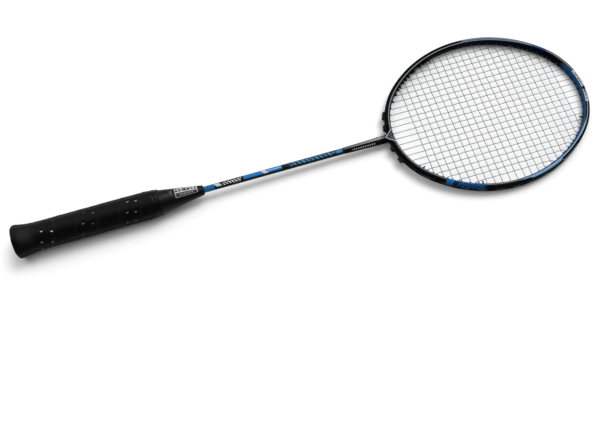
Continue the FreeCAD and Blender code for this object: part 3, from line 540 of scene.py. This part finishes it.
def composite():
    """Bare moulded carbon with a faint woven pattern."""
    finish = Finish("composite")
    lengthwise = finish.math("SINE", finish.math("MULTIPLY", finish.x, 2 * math.pi / WEAVE_PITCH))
    around = finish.math("SINE", finish.math("MULTIPLY", finish.turn(), 0.35))
    weave = finish.math("MULTIPLY", lengthwise, around)
    finish.set(Base_Color=finish.mix(finish.rise(weave, -0.4, 0.4), srgb(20, 21, 23), GRAPHITE))
    finish.worn(0.3, 0.5)
    finish.bump(weave, 0.04 * MM)
    return finish.material


def overgrip_tape():
    """Matt black polyurethane tape with fine grain, rubbed patches, a painted sheen along its top, holes
    painted near-black as shade, and pale felt walls brightened by a painted glint.
    """
    finish = Finish("overgrip_tape")
    pit, felt_and_glint, crest = (finish.node("ShaderNodeAttribute", attribute_name=name).outputs["Fac"]
                        for name in ("pit", "felt_and_glint", "crest"))
    angle = finish.turn()
    grain = finish.noise(0.5 * MM, 4.0, roughness=0.7)
    fibres = finish.blotches(0.7 * MM, 0.5, 0.8, 4.0, (0.25, 1, 1))
    rubbed = finish.blotches(9 * MM, 0.42, 0.72, 5.0)
    # painted sheen: the upper side of the tape is lighter, as light falls on it
    painted_top_sheen = finish.band(angle, -10, 90, 24.0)
    heel = finish.where(finish.band(finish.x, 8 * MM, 22 * MM, 9 * MM), finish.band(angle, -38, 20, 34.0))
    finish.set(Base_Color=finish.paint(
        srgb(3, 3, 4),
        (finish.scaled(painted_top_sheen, 0.7), srgb(24, 24, 25)),
        (finish.scaled(rubbed, 0.4), srgb(16, 16, 17)),
        (finish.scaled(finish.rise(grain, 0.45, 0.75), 0.6), srgb(12, 12, 13)),
        (finish.scaled(fibres, 0.3), srgb(26, 26, 27)),
        (finish.scaled(heel, 0.5), srgb(40, 40, 42)),
        (finish.scaled(crest, 0.2), srgb(26, 26, 28)),
        # painted shade: the holes' insides are near-black
        (pit, srgb(5, 5, 6)), (felt_and_glint, srgb(226, 226, 228))),
        Specular_IOR_Level=0.05)
    finish.worn(0.5, 0.66)
    finish.bump(grain, 0.1 * MM)
    return finish.material


# ---------------------------------------------------------------- the wound overgrip
STATIONS = [  # in millimetres: place along the handle, the octagon's apothem, the skin's distance outside it
    (0.0, 10.3, 8.2),
    (4.0, 10.3, 8.2),
    (12.0, 10.3, 6.6),
    (20.0, 10.3, 5.6),
    (29.0, 10.3, 5.2),
    (60.0, 10.3, 5.2),
    (150.0, 10.3, 5.2),
    (163.0, 0.5, 13.55),
]
LAP_PITCH = 24 * MM
LAP_START = 21 * MM
LAP_HEIGHT = 0.16 * MM
ROUNDER = 0.27
# rings of holes: place along the handle and gap between its two columns, in millimetres, then the
# angle each column starts from, in degrees, and how strong the painted glint on its felt is
PIT_RINGS = [
    (37.5, 10.6, -8, -19, 1.0),
    (82.8, 9.9, -23, -33, 0.4),
    (131.0, 9.0, -28, -34, 0.9),
]
PIT_TURN = 45  # degrees from one row of holes to the next
PIT_DRIFT = 3.1 * MM  # how far the helix moves each row along
UNDRIFTED_TURN = -25  # the angle, in degrees, at which a row is at its ring's own place
PIT_RADIUS = 1.3 * MM
PIT_DEPTH = 0.75 * MM
# the felt's painted glint is full within 19 degrees of the top
GLINT_FADES = (math.cos(math.radians(26)), math.cos(math.radians(19)))  # dull past 26 degrees from the top
TAPE_THICKNESS = 1.2 * MM
END_THINNING = 0.6  # the share of it lost where the wrap's end runs onto the cone

# the skin's mesh: points round it, steps along its outside, and steps back along its inside
AROUND = 220
ALONG = 330
BACK = 60


def between(value, low, high):
    """A smooth share of the way from low to high."""
    share = min(max((value - low) / (high - low), 0.0), 1.0)
    return share * share * (3 - 2 * share)


def station(x):
    """The octagon's apothem and the skin's offset here, averaged a little so the skin has no edges."""
    reach = 3
    apothem, offset = 0.0, 0.0
    for shift in range(-reach, reach + 1):
        place = x / MM + shift
        here = STATIONS[-1][1:]
        for (start, first, low), (end, last, high) in zip(STATIONS, STATIONS[1:]):
            if place <= end:
                share = max((place - start) / (end - start), 0.0)
                here = (first + (last - first) * share, low + (high - low) * share)
                break
        apothem += here[0] / (2 * reach + 1)
        offset += here[1] / (2 * reach + 1)
    return apothem * MM, offset * MM


def rounded_octagon(apothem, offset, angle):
    """The distance from the axis to an octagon of this apothem, grown outwards by offset."""
    eighth = math.pi / 4
    turn = (angle + eighth / 2) % eighth - eighth / 2
    half_side = apothem * math.tan(eighth / 2)
    flat = apothem + offset
    if abs(flat * math.tan(turn)) <= half_side:
        return flat / math.cos(turn)
    corner = apothem / math.cos(eighth / 2)
    aside = abs(turn) - eighth / 2
    return corner * math.cos(aside) + math.sqrt(offset ** 2 - (corner * math.sin(aside)) ** 2)


def lap(x, angle):
    """The tape's step where each turn lies over the last: sharp ahead, fading behind."""
    turns = (x - LAP_START) / LAP_PITCH - angle / (2 * math.pi)
    share = turns - math.floor(turns)
    ramp = between(share, 0.0, 0.035) * (1 - between(share, 0.06, 0.34))
    return LAP_HEIGHT * ramp


def pit_centres():
    """Rings of small holes: two columns in each, in rows that follow the tape's helix."""
    centres = []
    for along, gap, first, second, glint_strength in PIT_RINGS:
        for row in range(-4, 4):
            drift = PIT_DRIFT * (row + (first - UNDRIFTED_TURN) / PIT_TURN)
            for shift, start in ((-gap / 2, first), (gap / 2, second)):
                x = (along + shift) * MM + drift
                centres.append((x, math.radians(start + PIT_TURN * row), glint_strength))
    return centres


def pit_share(x, angle, radius, centres):
    """How deep in a hole a point is, 0 to 1, and how much of it is pale felt on the hole's lower wall,
    brightened as a painted glint.
    """
    share, felt_and_glint = 0.0, 0.0
    for at, turn, glint_strength in centres:
        if abs(x - at) < PIT_RADIUS * 1.4:
            aside = ((angle - turn + math.pi) % (2 * math.pi) - math.pi) * radius
            distance = math.hypot(x - at, aside)
            here = 1 - between(distance, PIT_RADIUS * 0.55, PIT_RADIUS * 1.25)
            if here > share:
                share = here
                # painted glint: the felt is brightest in holes near the top and on each hole's lower wall,
                # where light falls
                upward = 0.3 + 0.7 * between(math.cos(turn), *GLINT_FADES)
                on_wall = min(4 * here * (1 - here) + 0.3 * here, 1.0)
                felt_and_glint = on_wall * between(-aside, 0, PIT_RADIUS * 0.7) * upward * glint_strength
    return share, felt_and_glint


def ripple(x, angle):
    """The long uneven swell of hand-wound tape, and the fine creases at the wrap's two ends."""
    swell = 0.07 * math.sin(3 * angle + x / (19 * MM)) + 0.06 * math.sin(5 * angle - x / (11 * MM))
    late = between(x, 143 * MM, 148 * MM) * (1 - between(x, 152 * MM, 155 * MM))
    crease = math.sin((x + 2.2 * MM * math.sin(2 * angle + 0.6)) * 2 * math.pi / (3.6 * MM))
    early = between(x, 3 * MM, 6 * MM) * (1 - between(x, 9 * MM, 16 * MM))
    hem = math.sin((x + 1.0 * MM * math.sin(3 * angle)) * 2 * math.pi / (4.4 * MM))
    loose = 1 - between(x, 150 * MM, 155 * MM)
    return (loose * swell + 0.14 * late * crease + 0.06 * early * hem) * MM


def overgrip():
    """The overgrip's skin as one closed shell: outside there, inside back."""
    start, end = 0.35 * MM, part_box("overgrip")[1].x
    round_length, round_drop = 3.2 * MM, 1.7 * MM
    centres = pit_centres()
    verts, marks = [], {"pit": [], "felt_and_glint": [], "crest": []}

    def ring(x, skin):
        apothem, offset = station(x)
        for k in range(AROUND):
            angle = 2 * math.pi * k / AROUND
            radius, *shares = skin(x, angle, apothem, offset)
            verts.append((x, radius * math.sin(angle), radius * math.cos(angle)))
            for values, share in zip(marks.values(), shares):
                values.append(share)

    def rounding(x):
        """How far the butt's rounded edge falls inside the skin."""
        share = min(max((x - start) / round_length, 0.0), 1.0)
        return round_drop * (1 - math.sqrt(1 - (1 - share) ** 2))

    def outside(x, angle, apothem, offset):
        rounder = ROUNDER * apothem
        radius = rounded_octagon(apothem - rounder, offset + rounder, angle) - LAP_HEIGHT
        pit, felt_and_glint = pit_share(x, angle, radius, centres)
        step = lap(x, angle)
        radius += step + ripple(x, angle) - pit * PIT_DEPTH - rounding(x)
        return radius, pit, felt_and_glint, step / LAP_HEIGHT

    def inside(x, angle, apothem, offset):
        thin = TAPE_THICKNESS * (1 - END_THINNING * between(x, 150 * MM, 163 * MM))
        radius = rounded_octagon(apothem, offset, angle)
        return radius - thin - rounding(x), 0.0, 0.0, 0.0

    for i in range(ALONG + 1):
        ring(start + (end - start) * i / ALONG, outside)
    for i in range(BACK + 1):
        ring(end + (start - end) * i / BACK, inside)
    rings = len(verts) // AROUND
    faces = []
    for i in range(rings):
        for k in range(AROUND):
            ahead, beside = (i + 1) % rings, (k + 1) % AROUND
            faces.append((i * AROUND + k, i * AROUND + beside, ahead * AROUND + beside, ahead * AROUND + k))
    mesh = bpy.data.meshes.new("wound_overgrip")
    mesh.from_pydata(verts, [], faces)
    mesh.validate()
    for name, values in marks.items():
        mesh.attributes.new(name, "FLOAT", "POINT").data.foreach_set("value", values)
    mesh.shade_smooth()
    piece = bpy.data.objects.new("wound_overgrip", mesh)
    bpy.context.scene.collection.objects.link(piece)
    mesh.materials.append(overgrip_tape())
    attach(piece, "root")
    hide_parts("overgrip")


# ---------------------------------------------------------------- finishes onto the CAD nodes
def dress(material, *names):
    for name in names:
        mesh = NODES[name].data
        mesh.materials.clear()
        mesh.materials.append(material)


dress(rim_lacquer(), "head_frame")
dress(joint_lacquer(), "throat_joint")
dress(shaft_lacquer(), "shaft")
dress(composite(), "throat_core")
dress(timber(), "handle_core")
dress(cap_plastic(), "butt_cap")
dress(plate_plastic(), "butt_plate")
dress(nail_steel(), "butt_cap_nails")
dress(grip_foam(), "base_grip")
dress(tape_film(), "finishing_tape")
dress(cone_plastic(), "cone")
dress(label_foil(), "cone_label")
dress(string_nylon("main_nylon", srgb(66, 66, 70)), "main_string", "main_string_knots")
dress(string_nylon("cross_nylon", srgb(70, 70, 74)), "cross_string", "cross_string_knots")
dress(grommet_nylon(), *[name for name in NODES if "grommet" in name])
dress(pad_rubber(), "throat_pads_left", "throat_pads_right")
overgrip()


# ---------------------------------------------------------------- table, light and camera
def table():
    """A plain pale table top that the butt's flange and the head's tip both rest on."""
    slope = math.atan2(TIP_REST.z - BUTT_REST.z, TIP_REST.x - BUTT_REST.x)
    corners = [(x * TABLE_REACH, y * TABLE_REACH, 0) for x, y in ((-1, -1), (1, -1), (1, 1), (-1, 1))]
    mesh = bpy.data.meshes.new("table_top")
    mesh.from_pydata(corners, [], [(0, 1, 2, 3)])
    top = bpy.data.objects.new("table_top", mesh)
    top.matrix_world = Matrix.Translation(BUTT_REST) @ Matrix.Rotation(-slope, 4, "Y")
    bpy.context.scene.collection.objects.link(top)
    finish = Finish("table_white")
    finish.set(Base_Color=finish.mix(finish.noise(0.2, 3.0), srgb(246, 246, 247), srgb(250, 250, 250)))
    finish.worn(0.55, 0.65, 0.05)
    mesh.materials.append(finish.material)


def far_lamp(name, towards, strength, spread):
    """A broad lamp far away in this direction, so the whole table is lit evenly."""
    light = bpy.data.lights.new(name, "SUN")
    light.energy = strength
    light.angle = math.radians(spread)
    lamp = bpy.data.objects.new(name, light)
    lamp.rotation_mode = "QUATERNION"
    lamp.rotation_quaternion = Vector(towards).to_track_quat("Z", "Y")
    lamp.location = Vector(towards).normalized() * 2
    bpy.context.scene.collection.objects.link(lamp)


def studio():
    far_lamp("key_softbox", (0.46, 0.35, 1.0), 1.45, 30)
    far_lamp("broad_softbox", (0.06, 0.36, 0.93), 1.85, 88)
    world = bpy.data.worlds.new("studio")
    world.use_nodes = True
    background = world.node_tree.nodes["Background"]
    background.inputs["Color"].default_value = (1, 1, 1, 1)
    background.inputs["Strength"].default_value = 0.2
    bpy.context.scene.world = world


def camera():
    """A high three-quarter view from the racket's right, turned a little to its butt."""
    azimuth, elevation, roll = (math.radians(a) for a in (-15.54, 66.87, -1.59))
    distance = 846.8 * MM
    target = Vector((308.1, -56.8, 0.3)) * MM
    focal_length = 45.924  # in millimetres, on a sensor 36 mm wide
    back = Vector((math.sin(azimuth) * math.cos(elevation),
                   -math.cos(azimuth) * math.cos(elevation), math.sin(elevation)))
    lens = bpy.data.cameras.new("camera")
    lens.sensor_width = 36.0
    lens.lens = focal_length
    lens.clip_start, lens.clip_end = 0.01, 50.0
    body = bpy.data.objects.new("camera", lens)
    right = (-back).cross(Vector((0, 0, 1))).normalized()
    up = right.cross(-back)
    tilted_right = right * math.cos(roll) + up * math.sin(roll)
    tilted_up = up * math.cos(roll) - right * math.sin(roll)
    turn = Matrix((tilted_right, tilted_up, back)).transposed().to_4x4()
    body.matrix_world = Matrix.Translation(target + back * distance) @ turn
    bpy.context.scene.collection.objects.link(body)
    bpy.context.scene.camera = body


table()
studio()
camera()
bpy.context.scene.view_settings.view_transform = "Standard"
